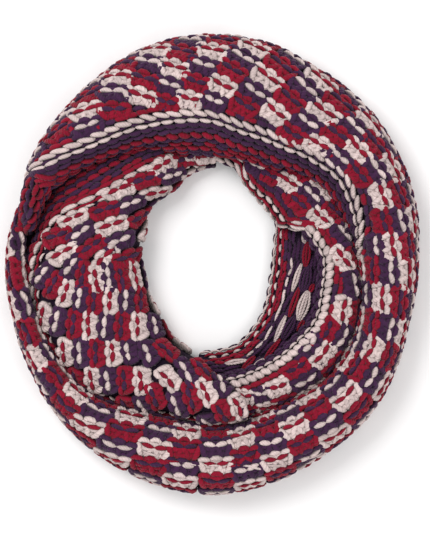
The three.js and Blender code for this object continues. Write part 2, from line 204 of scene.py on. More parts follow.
# Columns of cells on the left wrap, which bend as the cloth turns the corner. Each has the place of
# its first cell in the photograph's own units, its first and last heading, its first and last
# pitch, its number of cells, and where its colours start in cream, plum, crimson.
LEFT_CELLS = (
    (208, 157, -88, -88, 11, 11, 2, 0),
    (186, 160, -62, -62, 11, 11, 2, 2),
    (163, 167, -45, -50, 11.3, 11.3, 3, 0),
    (145.5, 181.5, -41, -50, 12, 12, 3, 2),
    (121.5, 192.5, -51, -66, 12.6, 11, 4, 0),
    (106, 212, -65, -66, 12.8, 17, 4, 2),
    (76.8, 220.4, -62, -20, 12.8, 13.5, 4, 0),
    (60.1, 238.3, -73, 5, 13.5, 9.6, 9, 2),
    (46, 276, -40, 0, 11.6, 11.6, 9, 1),
    (46.8, 317, -14, 0, 12.2, 12.6, 9, 0),
    (52.5, 350.5, -2, 2, 12.6, 12.6, 6, 2),
    (150, 351, 12, 12, 13, 13, 1, 1),
    (167, 349, 34, 34, 13, 13, 2, 2),
    (79.5, 379, 1, 1, 12.9, 12.9, 5, 2),
    (157, 394, 22, 22, 13, 13, 1, 2),
    (170, 376, 36, 36, 13, 13, 1, 0),
    (187, 370, 38, 38, 13, 13, 1, 1),
    (204, 367, 44, 44, 13, 13, 1, 2),
    (145, 404, 14, 14, 12, 12, 1, 1),
    (113, 403, 6, 6, 13, 13, 1, 1),
    (129, 404, 8, 8, 13, 13, 1, 2),
    (179, 402.5, 26, 26, 12.7, 12.7, 4, 1),
    (210, 418, 28, 28, 13, 13, 3, 1),
    (244, 417, 28, 28, 12, 12, 1, 1),
)

# Rows of stitches along the borders: offset from the chain (away from the hole if positive), yarn,
# the share of the stitch pitch that a strand fills, the pitch, half width, height over the cloth,
# lean, phase, and how blunt its ends are
OUTER_BORDER = (
    (9.0, "plum", 1.05, 9.0, 2.6, -0.6, 0.1, 0.1, 0.6),
    (4.9, "mottled", 1.0, 8.6, 2.6, 0.3, 0.1, 0.3, 0.6),
    (0.0, "cream", 1.12, 9.9, 2.3, 1.8, 0.34, 0.0, 0.45),
    (-3.0, "plum", 1.0, 9.9, 1.5, 0.0, 0.0, 0.5, 0.4),
    (-5.8, "cream", 0.98, 9.9, 2.0, 1.0, 0.05, 0.5, 0.25),
    (-9.2, "plum", 1.0, 9.0, 2.3, 0.9, 0.1, 0.0, 0.6),
    (-12.8, "plum", 1.0, 9.4, 2.3, 1.0, -0.1, 0.5, 0.6),
    (-16.8, "crimson", 0.85, 9.2, 2.7, 1.5, 0.25, 0.0, 0.6),
    (-20.4, "plum", 1.0, 9.2, 2.2, 0.6, -0.1, 0.5, 0.6),
    (-23.8, "mottled", 0.95, 9.0, 2.2, 0.6, 0.1, 0.2, 0.6),
    (-27.4, "crimson", 0.85, 9.2, 2.5, 1.2, 0.2, 0.3, 0.6),
    (-30.8, "plum", 1.0, 9.4, 2.1, 0.7, 0.1, 0.0, 0.6),
    (-34.2, "mottled", 0.95, 9.0, 2.2, 0.8, 0.1, 0.5, 0.6),
    (-37.6, "plum", 1.0, 9.2, 2.1, 0.6, 0.1, 0.2, 0.6),
    (-41.0, "crimson", 0.9, 9.2, 2.1, 0.6, 0.1, 0.7, 0.6),
)
LEFT_BORDER = (
    (-6.6, "cream", 0.7, 9.5, 1.3, 0.5, 0.1, 0.5, 0.3),
    (-3.8, "crimson", 1.05, 10, 1.6, 0.4, 0.0, 0.2, 0.6),
    (0.0, "cream", 0.9, 11.6, 2.5, 1.3, 0.1, 0.0, 0.35),
    (3.8, "crimson", 1.0, 9.4, 2.2, 0.6, 0.1, 0.5, 0.6),
    (7.4, "mottled", 0.95, 9.0, 2.2, 0.8, -0.1, 0.0, 0.6),
    (11.0, "plum", 0.95, 9.2, 2.2, 0.7, 0.1, 0.5, 0.6),
    (14.6, "crimson", 0.85, 9.2, 2.4, 1.1, 0.2, 0.0, 0.6),
    (18.2, "plum", 0.95, 9.0, 2.2, 0.7, 0.1, 0.5, 0.6),
    (21.8, "crimson", 0.85, 9.2, 2.4, 1.1, 0.2, 0.2, 0.6),
    (25.4, "plum", 0.95, 9.2, 2.2, 0.7, 0.1, 0.0, 0.6),
    (29.0, "mottled", 0.95, 9.0, 2.2, 0.7, 0.1, 0.5, 0.6),
)
FOLDED_EDGE_BORDER = (
    (-3.2, "plum", 0.9, 10, 1.4, 0.0, 0.0, 0.5, 0.4),
    (0.0, "cream", 1.05, 8.4, 1.9, 1.3, 0.4, 0.0, 0.45),
    (3.3, "crimson", 1.0, 9.0, 1.8, 0.5, 0.0, 0.3, 0.6),
    (6.8, "cream", 0.84, 9.0, 1.9, 1.0, 0.05, 0.5, 0.3),
    (10.2, "crimson", 1.0, 9.0, 2.2, 0.6, 0.0, 0.0, 0.6),
    (14.0, "plum", 1.05, 9.0, 2.6, 0.0, 0.1, 0.5, 0.6),
    (18.0, "mottled", 1.05, 9.0, 2.6, -0.3, 0.1, 0.1, 0.6),
    (22.0, "plum", 1.05, 9.0, 2.6, -0.4, 0.1, 0.6, 0.6),
    (26.0, "plum", 1.05, 9.0, 2.6, -0.4, 0.1, 0.2, 0.6),
    (30.0, "mottled", 1.05, 9.0, 2.6, -0.4, 0.1, 0.7, 0.6),
)
THICK_BORDER = (
    (-9.4, "plum", 0.95, 8.6, 2.1, 0.1, 0.0, 0.2, 0.6),
    (-6.6, "plum", 0.95, 8.4, 1.9, 0.2, 0.0, 0.6, 0.6),
    (-4.6, "cream", 0.95, 8.2, 1.35, 0.9, 0.05, 0.5, 0.25),
    (0.0, "cream", 1.06, 6.5, 3.0, 1.8, 0.55, 0.0, 0.55),
    (5.2, "mottled", 1.0, 8.0, 2.6, 0.6, 0.1, 0.3, 0.6),
    (9.2, "mottled", 1.05, 8.0, 2.6, -0.4, 0.1, 0.0, 0.6),
    (13.2, "plum", 1.05, 9.0, 2.6, -0.5, 0.1, 0.4, 0.6),
    (17.2, "plum", 1.05, 9.0, 2.6, -0.5, 0.1, 0.1, 0.6),
    (21.2, "mottled", 1.05, 9.0, 2.6, -0.5, 0.1, 0.6, 0.6),
    (25.2, "plum", 1.05, 9.0, 2.6, -0.5, 0.1, 0.2, 0.6),
)
LOW_OVALS = ((9.4, "cream", 0.9, 8.8, 2.1, 1.1, 0.1, 0.5, 0.35),)

# Rows on the lower lip, from the hole's edge outward
LIP_BORDER = (
    (0.0, "plum", 0.9, 10.6, 1.4, 0.6, 0.0, 0.0, 0.4),
    (2.0, "cream", 1.2, 8.0, 1.15, 1.0, 0.1, 0.0, 0.5),
    (4.1, "crimson", 1.05, 8.0, 1.3, 0.5, 0.0, 0.5, 0.6),
    (6.1, "cream", 0.62, 10.4, 1.15, 0.7, 0.0, 0.5, 0.3),
    (8.2, "crimson", 1.0, 8.0, 1.4, 0.5, 0.0, 0.0, 0.6),
    (10.8, "mottled", 0.95, 8.4, 1.8, 0.5, 0.1, 0.5, 0.6),
    (13.8, "plum", 0.95, 8.4, 1.8, 0.4, -0.1, 0.0, 0.6),
    (17.0, "plum", 1.0, 14, 1.7, 0.0, 0.1, 0.5, 0.6),
    (20.4, "plum", 1.0, 17, 1.8, -0.4, 0.1, 0.2, 0.6),
    (24.0, "plum", 1.0, 17, 1.8, -0.6, 0.1, 0.6, 0.6),
    (27.6, "plum", 1.0, 17, 1.8, -0.6, 0.1, 0.1, 0.6),
    (31.2, "plum", 1.0, 17, 1.8, -0.4, 0.1, 0.5, 0.6),
    (34.8, "plum", 1.0, 17, 1.9, 0.0, 0.1, 0.2, 0.6),
    (38.0, "plum", 1.0, 17, 1.9, 0.2, 0.1, 0.6, 0.6),
)

# Bundles of long floats on the lower lip's wrong side, in the photograph's own units: where each
# starts and ends, its width at the middle, its yarn, and its height
FLOATS = (
    (304.5, 231, 304.8, 243, 5.6, "cream", 1.2),
    (307.9, 241.8, 305.8, 266.8, 8.7, "crimson", 1.4),
    (308.9, 265.8, 302.8, 292.3, 13, "plum", 1.4),
    (301.7, 263.8, 292.6, 291.3, 5.6, "cream", 1.6),
    (314, 284, 310, 292, 5, "crimson", 1.4),
    (299.7, 287.8, 289.3, 317, 7.7, "crimson", 1.6),
    (308.5, 291, 299, 320.5, 12, "cream", 1.8),
    (304.3, 320.3, 298, 331.6, 6.3, "crimson", 1.4),
    (295.2, 316.8, 282.5, 340, 10.5, "plum", 1.4),
    (286, 316, 274.8, 342, 5, "cream", 1.6),
    (280.4, 339.3, 264.3, 360.3, 5, "crimson", 1.6),
    (268, 340, 250, 358, 6, "plum", 1.4),
    (264.3, 359, 251, 370, 5, "cream", 1.6),
    (255.2, 356.8, 242.5, 369.5, 6.3, "crimson", 1.6),
    (292, 258, 292.5, 268.5, 2.5, "cream", 1.4),
    (292.5, 268.5, 289, 276, 2.5, "cream", 1.4),
    (289, 276, 286, 288, 2.5, "cream", 1.4),
    (286, 288, 282.3, 304, 2.5, "cream", 1.4),
    (282.3, 304, 275.5, 321, 2.5, "cream", 1.4),
    (272.7, 326.7, 265, 341, 4, "cream", 1.6),
    (265, 341, 254.5, 351, 2.5, "cream", 1.6),
    (254.5, 351, 247, 357, 2.5, "cream", 1.8),
    (248, 360.5, 225, 364.5, 5, "cream", 1.8),
)
# Thin strands along the fold at the bottom of the outer wrap, in the same units and columns
FOLD_STRANDS = (
    (144, 447, 160, 452, 2.6, "cream", 2.8),
    (163, 455, 181, 458, 2.6, "crimson", 2.8),
    (180, 457, 200, 462, 2.6, "cream", 2.8),
    (204, 461, 221, 464, 2.6, "cream", 2.8),
    (226, 465, 240, 463, 2.6, "crimson", 2.8),
    (243, 463, 262, 465, 2.6, "cream", 2.8),
    (266, 462, 284, 460, 2.6, "cream", 2.8),
    (288, 460, 303, 454, 2.6, "crimson", 2.8),
    (304, 455, 322, 447, 2.6, "cream", 2.8),
)

# A cell is two stitches wide. Each strand has its points (along, across) in column widths and cell
# pitches, its height at each over the cloth, and its half width. The left half's are mirrored. Beds
# lie under a cell and fill the gaps between its legs, and a lip is half of its mouth.
LEGS = (
    (((-0.50, 0.24, 0.3), (-0.43, 0.02, 1.1), (-0.37, -0.22, 1.2), (-0.28, -0.50, -0.2)), 2.9),
    (((-0.05, 0.06, 0.5), (-0.09, -0.10, 1.3), (-0.13, -0.28, 1.2), (-0.20, -0.50, -0.2)), 2.6),
)
BEDS = (
    (((-0.52, -0.02, -0.2), (-0.16, -0.02, 0.1), (0.16, -0.02, 0.1), (0.52, -0.02, -0.2)), 3.0),
    (((-0.36, -0.28, -0.4), (-0.12, -0.28, 0.1), (0.12, -0.28, 0.1), (0.36, -0.28, -0.4)), 3.0),
    (((-0.36, 0.24, -0.4), (-0.12, 0.24, 0.4), (0.12, 0.24, 0.4), (0.36, 0.24, -0.4)), 2.6),
)
LIP = ((-0.38, 0.17, 0.9), (-0.26, 0.17, 2.2), (-0.13, 0.13, 2.4), (-0.01, 0.09, 1.7))
LIP_HALF_WIDTH = {"cream": 2.1, "crimson": 2.1, "plum": 2.4}
CROWN_BUMPS = ((-0.36, 0.35), (0.0, 0.43), (0.36, 0.35))
CROWN_HALF_WIDTH = 2.45
CROWN_HEIGHT = 1.8
FULL_WIDTH = 20.0  # mm of a cell; in a narrower one the strands are squeezed
LEAST_SLIM = 0.72
LIP_YARN = {"cream": "crimson", "crimson": "plum", "plum": "cream"}
WIDEST_AT = 50  # mm from the chain, past which a column grows no wider
LEAST_CELL_HEIGHT = 11.5

# A strand of yarn: its sides and rings, how soon it swells, how blunt its ends are and how far they
# reach past the last ring in half widths, and how it flattens on the cloth
SIDES = 7
RINGS = 6
PLUMPNESS = 2.6
BLUNT = 0.62
LIP_BLUNT = 0.35
END_REACH = 0.7
FLATTENED = 0.88
FLOOR_CLEARANCE = 1.03
CRIMSON_SHARE = 0.68  # of the stitches in a mottled row, the rest are plum
BUNDLE = ((0.0, 0.35, -0.5), (0.33, 1.0, 0.4), (0.67, 1.0, 0.4), (1.0, 0.35, -0.5))
NOSE_ROWS = ((0.9, "plum", 0.8), (0.1, "mottled", -0.6), (0.0, "plum", -3.4))
NOSE_SHARES = (0, 0.3, 0.7, 1)

# The grid that yarn is laid on
GRID_ANGLE = 0.75
GRID_ACROSS = 1.0
EASED = 0.8  # least share of a step across steep cloth that counts as seen from above


# Curves through the tables
def hermite_slopes(at, values):
    slopes = np.zeros(len(at))
    rise = np.diff(values) / np.diff(at)
    for i in range(1, len(at) - 1):
        left, right = rise[i - 1], rise[i]
        slopes[i] = 2 * left * right / (left + right) if left * right > 0 else 0
    return slopes


def through(rows, columns, name, angles):
    """The named column at some angles, on a smooth curve that never overshoots its rows."""
    table = np.array(rows, float)
    at, values = table[:, 0], table[:, columns.index(name)]
    slopes = hermite_slopes(at, values)
    angles = np.clip(angles, at[0], at[-1])
    i = np.clip(np.searchsorted(at, angles) - 1, 0, len(at) - 2)
    span = at[i + 1] - at[i]
    t = (angles - at[i]) / span
    rise = t * t * (3 - 2 * t)
    leave, arrive = t * (1 - t) ** 2 * span, t * t * (t - 1) * span
    return values[i] + (values[i + 1] - values[i]) * rise + slopes[i] * leave + slopes[i + 1] * arrive


def shorter(length, inset):
    return np.sign(length) * max(abs(length) - inset, LEAST_RADIUS)


def arc_points(centre, half_axes, from_side, steps, inset):
    turn = np.linspace(0, math.pi / 2, steps + 1)
    side, top = (np.cos(turn), np.sin(turn)) if from_side else (np.sin(turn), np.cos(turn))
    r = centre[0] + shorter(half_axes[0], inset) * side
    z = centre[1] + shorter(half_axes[1], inset) * top
    return np.stack([r, z], 1)


def roll_section(s, steps, inset):
    crest, side, foot = s["crest_r"], s["side_r"], s["foot_r"]
    rise, drop, fall = s["crest_z"] - s["rim_z"], s["crest_z"] - s["side_z"], s["foot_z"] - s["side_z"]
    inner = arc_points((crest, s["rim_z"]), (s["rim_r"] - crest, rise), True, steps, inset)
    outer = arc_points((crest, s["side_z"]), (side - crest, drop), False, steps, inset)
    low = arc_points((foot, s["side_z"]), (side - foot, fall), True, steps, inset)
    return np.concatenate([inner, outer[1:], low[1:]])


def lip_section(s, steps, inset):
    rim, side, foot, middle = s["rim_r"], s["side_r"], s["foot_r"], s["side_z"]
    top = arc_points((rim, middle), (side - rim, s["rim_z"] - middle), False, steps * 2, inset)
    low = arc_points((foot, middle), (side - foot, -middle), True, steps, inset)
    return np.concatenate([top, low[1:]])


def folded(points, wrap, angle, s):
    base = max(s["rim_z"], s["side_z"])
    share = np.clip((points[:, 1] - base) / (s["crest_z"] - base), 0, 1)
    share = share * share * (3 - 2 * share)
    for name, first, last, start_r, end_r, depth, width in FOLDS:
        along = (angle - first) / (last - first)
        if name == wrap and 0 < along < 1:
            offset = (points[:, 0] - start_r - (end_r - start_r) * along) / width
            points[:, 1] -= depth * math.sin(math.pi * along) ** 2 * np.exp(-offset * offset) * share
    return points


def to_ring(points, angle):
    """Points (distance from the middle, height) of one section, in the ring's place."""
    turn = math.radians(angle)
    x = HOLE_MIDDLE[0] + points[:, 0] * math.cos(turn)
    y = HOLE_MIDDLE[1] + points[:, 0] * math.sin(turn)
    return np.stack([x, y, np.maximum(points[:, 1], 0)], 1)


def sections(stretch, angles, steps, inset):
    rows, columns = stretch["rows"], stretch["columns"]
    values = {name: through(rows, columns, name, angles) for name in columns[1:]}
    made = []
    for k, angle in enumerate(angles):
        s = {name: float(values[name][k]) for name in values}
        if stretch["wrap"] == "lip":
            made.append(lip_section(s, steps, inset))
        else:
            made.append(folded(roll_section(s, steps, inset), stretch["wrap"], angle, s))
    return made


def measured(stretch):
    """A grid over the cloth's mean surface, even in angle and in length across, to lay yarn on."""
    count = int((stretch["to"] - stretch["from"]) / GRID_ANGLE) + 1
    angles = np.linspace(stretch["from"], stretch["to"], count)
    lines = sections(stretch, angles, 20, 0)
    runs = [np.concatenate([[0], np.cumsum(np.linalg.norm(np.diff(p, axis=0), axis=1))]) for p in lines]
    lengths = np.array([run[-1] for run in runs])
    across = np.arange(0, lengths.max() + GRID_ACROSS, GRID_ACROSS)
    flat = [
        np.stack([np.interp(across, run, p[:, 0]), np.interp(across, run, p[:, 1])], 1)
        for run, p in zip(runs, lines)
    ]
    points = np.stack([to_ring(p, a) for p, a in zip(flat, angles)])
    along = np.gradient(points, axis=0)
    over = np.gradient(points, axis=1)
    over[np.linalg.norm(over, axis=2) < 1e-6] = (0, 0, -1)
    normals = np.cross(along, over)
    normals /= np.maximum(np.linalg.norm(normals, axis=2, keepdims=True), 1e-9)
    middle = (lengths / 2 / GRID_ACROSS).astype(int)
    if normals[np.arange(count), middle][:, 2].mean() < 0:
        normals = -normals
    outward = flat[count // 2][len(across) // 2, 0] > flat[count // 2][0, 0]
    return {
        "angles": angles, "points": points, "normals": normals, "lengths": lengths, "flat": flat,
        "plan": plan_runs(flat), "sign": 1 if outward else -1,
    }


def on_cloth(grid, angle, across, height):
    """Points on the cloth, lifted by a height, and the cloth's normal there."""
    angles, points, normals = grid["angles"], grid["points"], grid["normals"]
    across = np.minimum(across, np.interp(angle, angles, grid["lengths"]))
    i = np.clip((angle - angles[0]) / (angles[1] - angles[0]), 0, len(angles) - 1.001)
    j = np.clip(across / GRID_ACROSS, 0, points.shape[1] - 1.001)
    i0, j0 = i.astype(int), j.astype(int)
    u, v = (i - i0)[..., None], (j - j0)[..., None]

    def blend(a):
        near = a[i0, j0] * (1 - v) + a[i0, j0 + 1] * v
        far = a[i0 + 1, j0] * (1 - v) + a[i0 + 1, j0 + 1] * v
        return near * (1 - u) + far * u

    normal = blend(normals)
    normal /= np.maximum(np.linalg.norm(normal, axis=-1, keepdims=True), 1e-9)
    return blend(points) + normal * height[..., None], normal


def plan_runs(flat):
    """How far each place across the cloth lies from the rim seen from above, steep parts eased."""
    r = np.stack([line[:, 0] for line in flat])
    step = np.maximum(np.abs(np.diff(r, axis=1)), EASED * GRID_ACROSS)
    return np.concatenate([np.zeros((len(r), 1)), np.cumsum(step, axis=1)], 1)


def row_of(grid, angle):
    k = round((angle - grid["angles"][0]) / (grid["angles"][1] - grid["angles"][0]))
    return int(np.clip(k, 0, len(grid["angles"]) - 1))


def run_to(grid, angle, radius):
    """The run from the rim at which a distance from the middle of the hole is reached."""
    k = row_of(grid, angle)
    r, sign = grid["flat"][k][:, 0], grid["sign"]
    last = int(np.argmax(sign * r))
    if sign * (radius - r[0]) < 0:
        return sign * (radius - r[0])
    if sign * (radius - r[last]) > 0:
        return grid["plan"][k][last] + sign * (radius - r[last])
    return float(np.interp(sign * radius, sign * r[: last + 1], grid["plan"][k][: last + 1]))


def across_for(grid, angle, run):
    """How far across the cloth a run from the rim reaches."""
    line = grid["plan"][row_of(grid, angle)]
    return float(np.interp(run, line, np.arange(len(line)) * GRID_ACROSS)) if run > 0 else run


def seen_at(x, y):
    """The angle and distance from the middle of a place in the photograph's own units."""
    over = (x - RING_MIDDLE[0]) * PX - HOLE_MIDDLE[0]
    up = (RING_MIDDLE[1] - y) * PX - HOLE_MIDDLE[1]
    return math.degrees(math.atan2(up, over)), math.hypot(over, up)


# Yarn
class Yarns:
    """Strands waiting to be made into one mesh for each colour."""

    def __init__(self, grid, seed):
        self.grid = grid
        self.chance = np.random.default_rng(seed)
        self.waiting = {"cream": [], "crimson": [], "plum": []}

    def strand(self, yarn, places, half_width, blunt=BLUNT):
        """places are (angle, run, height) rows, four of them."""
        if yarn == "mottled":
            yarn = "crimson" if self.chance.uniform() < CRIMSON_SHARE else "plum"
        points = [(a, across_for(self.grid, a, run), height) for a, run, height in places]
        self.waiting[yarn].append((np.array(points, float), half_width, blunt))


def smooth_path(points, count):
    """Catmull-Rom through four points each, with count points."""
    before, after = 2 * points[:, :1] - points[:, 1:2], 2 * points[:, -1:] - points[:, -2:-1]
    p = np.concatenate([before, points, after], 1)
    spans = points.shape[1] - 1
    out = []
    for t in np.linspace(0, spans, count):
        k = min(int(t), spans - 1)
        u = t - k
        a, b, c, d = p[:, k], p[:, k + 1], p[:, k + 2], p[:, k + 3]
        bend, twist = 2 * a - 5 * b + 4 * c - d, 3 * b - a - 3 * c + d
        out.append(0.5 * (2 * b + (c - a) * u + bend * u * u + twist * u**3))
    return np.stack(out, 1)


def swept(grid, strands, chance):
    """Vertices and faces of plump strands of yarn laid on the cloth, and their own coordinates."""
    control = np.stack([s[0] for s in strands])
    blunt = np.array([s[2] for s in strands])[:, None]
    middle = 1 - np.abs(np.linspace(-1, 1, RINGS)) ** PLUMPNESS
    half = np.array([s[1] for s in strands])[:, None] * (blunt + (1 - blunt) * middle[None])
    path = smooth_path(control, RINGS)
    centre, normal = on_cloth(grid, path[..., 0], path[..., 1], path[..., 2])
    centre[..., 2] = np.maximum(centre[..., 2], half * FLOOR_CLEARANCE)
    tangent = np.gradient(centre, axis=1)
    tangent /= np.maximum(np.linalg.norm(tangent, axis=-1, keepdims=True), 1e-9)
    side = np.cross(tangent, normal)
    side /= np.maximum(np.linalg.norm(side, axis=-1, keepdims=True), 1e-9)
    top = np.cross(side, tangent)
    turn = np.arange(SIDES) * 2 * math.pi / SIDES
    ring = (
        centre[:, :, None]
        + side[:, :, None] * (half[..., None] * np.cos(turn))[..., None]
        + top[:, :, None] * (half[..., None] * FLATTENED * np.sin(turn))[..., None]
    )
    n = len(strands)
    first_end = centre[:, 0] - tangent[:, 0] * half[:, :1] * END_REACH
    last_end = centre[:, -1] + tangent[:, -1] * half[:, -1:] * END_REACH
    ends = np.stack([first_end, last_end], 1)
    vertices = np.concatenate([ring.reshape(n, RINGS * SIDES, 3), ends], 1)
    steps = np.linalg.norm(np.diff(centre, axis=1), axis=2)
    gone = np.concatenate([np.zeros((n, 1)), np.cumsum(steps, axis=1)], 1)
    gone += chance.uniform(0, 50, (n, 1))
    shade = np.repeat(chance.uniform(0, 1, (n, 1)), RINGS * SIDES + 2, 1)
    around = np.concatenate([np.tile(turn, RINGS), [0, 0]])[None].repeat(n, 0)
    length = np.concatenate([np.repeat(gone, SIDES, 1), gone[:, :1], gone[:, -1:]], 1)
    own = np.stack([np.cos(around), np.sin(around), length], 2)
    faces = []
    for m in range(RINGS - 1):
        for k in range(SIDES):
            a, b = m * SIDES + k, m * SIDES + (k + 1) % SIDES
            faces.append((a, a + SIDES, b + SIDES, b))
    caps = []
    first, last = RINGS * SIDES, RINGS * SIDES + 1
    for k in range(SIDES):
        b = (k + 1) % SIDES
        caps.append((first, k, b))
        caps.append((last, (RINGS - 1) * SIDES + b, (RINGS - 1) * SIDES + k))
    step = (np.arange(n) * (RINGS * SIDES + 2))[:, None, None]
    quads = (np.array(faces)[None] + step).reshape(-1, 4)
    threes = (np.array(caps)[None] + step).reshape(-1, 3)
    return vertices.reshape(-1, 3), quads, threes, own.reshape(-1, 3), shade.reshape(-1)


def new_object(name, vertices, quads, threes=()):
    """A mesh object at the origin, from places in millimetres."""
    mesh = bpy.data.meshes.new(name)
    loops = np.concatenate([np.ravel(quads), np.ravel(threes)]).astype(np.int32)
    totals = np.concatenate([np.full(len(quads), 4), np.full(len(threes), 3)]).astype(np.int32)
    mesh.vertices.add(len(vertices))
    mesh.vertices.foreach_set("co", (np.asarray(vertices) * MM).astype(np.float32).ravel())
    mesh.loops.add(len(loops))
    mesh.loops.foreach_set("vertex_index", loops)
    mesh.polygons.add(len(totals))
    starts = np.concatenate([[0], np.cumsum(totals)[:-1]]).astype(np.int32)
    mesh.polygons.foreach_set("loop_start", starts)
    mesh.update(calc_edges=True)
    mesh.validate()
    mesh.polygons.foreach_set("use_smooth", np.ones(len(totals), bool))
    made = bpy.data.objects.new(name, mesh)
    bpy.context.scene.collection.objects.link(made)
    return made


def faces_out(vertices, quads, threes=()):
    """The same faces, turned round if they point in."""
    v = np.asarray(vertices)
    tri = np.concatenate([quads[:, [0, 1, 2]], quads[:, [0, 2, 3]]] + ([threes] if len(threes) else []))
    volume = np.einsum("ij,ij->i", v[tri[:, 0]], np.cross(v[tri[:, 1]], v[tri[:, 2]])).sum()
    if volume > 0:
        return quads, threes
    return quads[:, ::-1], (threes[:, ::-1] if len(threes) else threes)


# Knitting
def yarn_pieces(node, yarns):
    made = []
    for yarn, strands in yarns.waiting.items():
        if not strands:
            continue
        vertices, quads, threes, own, shade = swept(yarns.grid, strands, yarns.chance)
        quads, threes = faces_out(vertices, quads, threes)
        piece = new_object(f"{node}_{yarn}_yarn", vertices, quads, threes)
        strand_layer = piece.data.attributes.new("strand", "FLOAT_VECTOR", "POINT")
        strand_layer.data.foreach_set("vector", own.astype(np.float32).ravel())
        shade_layer = piece.data.attributes.new("shade", "FLOAT", "POINT")
        shade_layer.data.foreach_set("value", shade.astype(np.float32))
        piece.data.materials.append(YARN_MATERIALS[yarn])
        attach(piece, "root")
        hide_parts(node)
        made.append(piece)
    return made


def cell_strands(yarn):
    """The strands of one cell: its points, its yarn, its half width and how blunt its ends are."""
    left = [(points, yarn, half_width, BLUNT) for points, half_width in LEGS]
    left.append((LIP, LIP_YARN[yarn], LIP_HALF_WIDTH[yarn], LIP_BLUNT))
    right = []
    for points, colour, half_width, blunt in left:
        right.append((tuple((-a, b, h) for a, b, h in points), colour, half_width, blunt))
    crown = []
    for a, b in CROWN_BUMPS:
        ends = ((a - 0.15, b - 0.10, 0.0), (a - 0.09, b + 0.02, CROWN_HEIGHT))
        ends += ((a + 0.09, b + 0.02, CROWN_HEIGHT), (a + 0.15, b - 0.10, 0.0))
        crown.append((ends, yarn, CROWN_HALF_WIDTH, BLUNT))
    beds = [(points, yarn, half_width, BLUNT) for points, half_width in BEDS]
    return left + right + crown + beds


def knit_cell(yarns, angle, run, radius, width, height, turn, yarn):
    """A cell with its crown away from the hole, or towards it where its height is below zero."""
    chance = yarns.chance
    slim = min(max(width / FULL_WIDTH, LEAST_SLIM), 1.0)
    width *= chance.uniform(0.97, 1.04)
    height *= chance.uniform(0.96, 1.06)
    run += chance.normal(0, 0.3)
    turn = math.radians(turn + chance.normal(0, 2))
    for points, colour, half_width, blunt in cell_strands(yarn):
        places = []
        for a, b, h in points:
            along = a * width * math.cos(turn) + b * height * math.sin(turn)
            out = b * height * math.cos(turn) - a * width * math.sin(turn)
            lift = h + chance.normal(0, 0.12)
            places.append((angle + math.degrees(along / radius), run + yarns.grid["sign"] * out, lift))
        yarns.strand(colour, places, half_width * slim * chance.uniform(0.94, 1.08), blunt)


def knit_columns(yarns, stretch):
    """Cells of three colours in half-dropped columns, from the edge chain across the band."""
    grid, table, pitch = yarns.grid, stretch["cells"], stretch["pitch"]
    for column in range(table[0][0], table[-1][0] + 1):
        at, start, lean, turn, least = (
            float(through(table, CELL_COLUMNS, name, np.array([column]))[0]) for name in CELL_COLUMNS[1:]
        )
        near, far = (float(through(table, CELL_COLUMNS, "at", np.array([column + d]))[0]) for d in (-1, 1))
        shift = 1.5 * (column % 2)
        for row in range(-8, 16):
            offset = start + (row + shift) * pitch
            if not least <= offset < 150:
                continue
            angle = at + math.degrees(lean * offset / stretch["mean_r"])
            if not stretch["from"] + 1 < angle < stretch["to"] - 1:
                continue
            chain_r = float(through(stretch["chain"], CHAIN_COLUMNS, "chain_r", np.array([angle]))[0])
            run = run_to(grid, angle, chain_r) + grid["sign"] * offset
            last = float(np.interp(angle, grid["angles"], grid["lengths"]))
            if not 2 < run or across_for(grid, angle, run) > last - 3:
                continue
            slant = math.cos(math.radians(turn))
            width = math.radians((far - near) / 2) * (chain_r + min(offset, WIDEST_AT)) * slant
            height = pitch / max(slant, 0.5) * stretch["fullness"]
            width *= stretch["fullness"]
            first_turned, last_turned = stretch["upturned"]
            if first_turned <= column <= last_turned:
                height = -height
            yarn = stretch["order"][row % 3]
            knit_cell(yarns, angle, run, chain_r + offset, width, height, turn, yarn)


def knit_bent_columns(yarns, stretch):
    """The same cells where the columns bend, each laid from its first cell on."""
    grid = yarns.grid
    for x, y, heading, last_heading, pitch, last_pitch, cells, first in stretch["cells"]:
        for cell in range(cells):
            share = min(cell / 4, 1)
            way = heading + (last_heading - heading) * share
            step = pitch + (last_pitch - pitch) * share
            angle, radius = seen_at(x, y)
            angle %= 360
            if stretch["from"] + 1 < angle < stretch["to"] - 1:
                run = run_to(grid, angle, radius)
                last = float(np.interp(angle, grid["angles"], grid["lengths"]))
                if across_for(grid, angle, run) < last - 2:
                    yarn = stretch["order"][(first + cell) % 3]
                    height, turn = max(step, LEAST_CELL_HEIGHT), way + 180 - angle
                    knit_cell(yarns, angle, run, radius, stretch["width"], height, turn, yarn)
            x += step / PX * math.cos(math.radians(way))
            y -= step / PX * math.sin(math.radians(way))


def knit_border(yarns, stretch, border, first, last):
    """Rows of stitches beside the edge chain, at distances seen from above."""
    grid, chance, chain = yarns.grid, yarns.chance, stretch["chain"]
    columns = LIP_COLUMNS if chain is LOWER_LIP else CHAIN_COLUMNS

    def run_at(angle, offset):
        chain_r = float(through(chain, columns, stretch["edge"], np.array([angle]))[0])
        return run_to(grid, angle, chain_r) + grid["sign"] * offset, chain_r + offset

    for offset, yarn, share, pitch, half_width, height, lean, phase, blunt in border:
        angle = first
        while angle < last:
            step = math.degrees(pitch / run_at(angle, offset)[1])
            places = []
            for t in (-0.5, -0.2, 0.2, 0.5):
                a = angle + (phase + 0.5 + t * share) * step
                run = run_at(a, offset + lean * t * pitch)[0]
                places.append((a, run, height - (1.3 if abs(t) > 0.4 else 0) + chance.normal(0, 0.12)))
            end = float(np.interp(angle, grid["angles"], grid["lengths"]))
            reach = [across_for(grid, place[0], place[1]) for place in places]
            if min(reach) > -1 and max(reach) < end - 1 and places[-1][0] < stretch["to"] + 0.5:
                yarns.strand(yarn, places, half_width * chance.uniform(0.93, 1.07), blunt)
            angle += step


